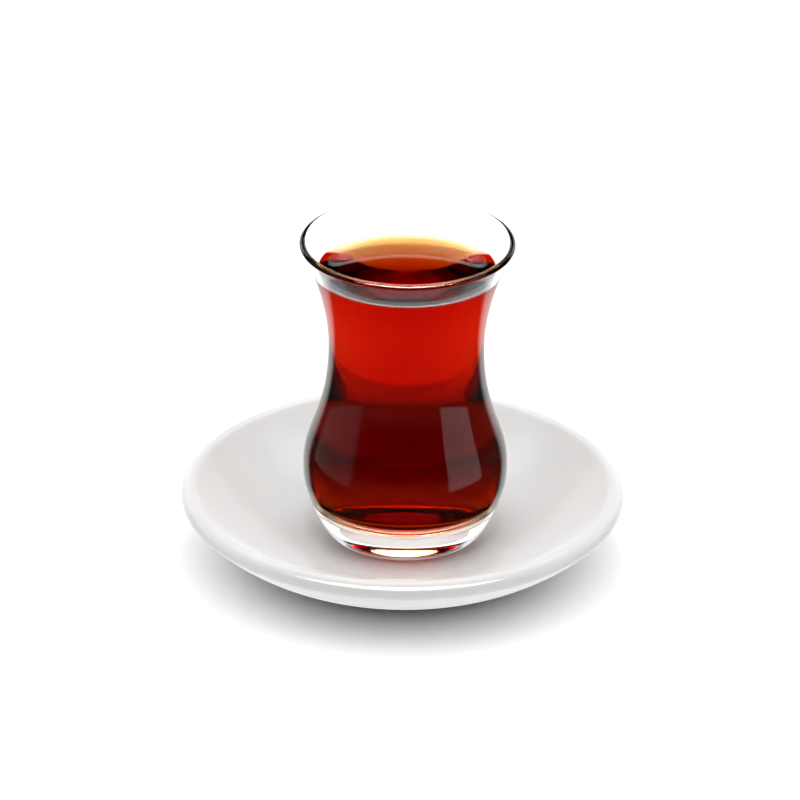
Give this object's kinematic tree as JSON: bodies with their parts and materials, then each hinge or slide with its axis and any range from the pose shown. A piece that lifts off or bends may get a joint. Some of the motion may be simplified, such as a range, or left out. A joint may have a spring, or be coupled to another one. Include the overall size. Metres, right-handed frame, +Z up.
{
  "type": "turkish tea glass",
  "caption": "Waisted clear tea glass with a thick bottom and flared mouth, filled with red-brown tea, standing on a round white saucer.",
  "frame": {"origin": "centre of the saucer's foot ring, on the surface that it stands on", "axes": "+Z up, along the glass; +X to the right and -Y towards the viewer of the picture"},
  "size_m": [0.1204, 0.1204, 0.0927],
  "materials": {
    "saucer": "smooth white glaze, glossy",
    "glass": "clear, polished",
    "tea": "clear red-brown liquid"
  },
  "bodies": {
    "root": {"saucer": "saucer", "glass": "glass", "tea": "tea"}
  },
  "joints": []
}
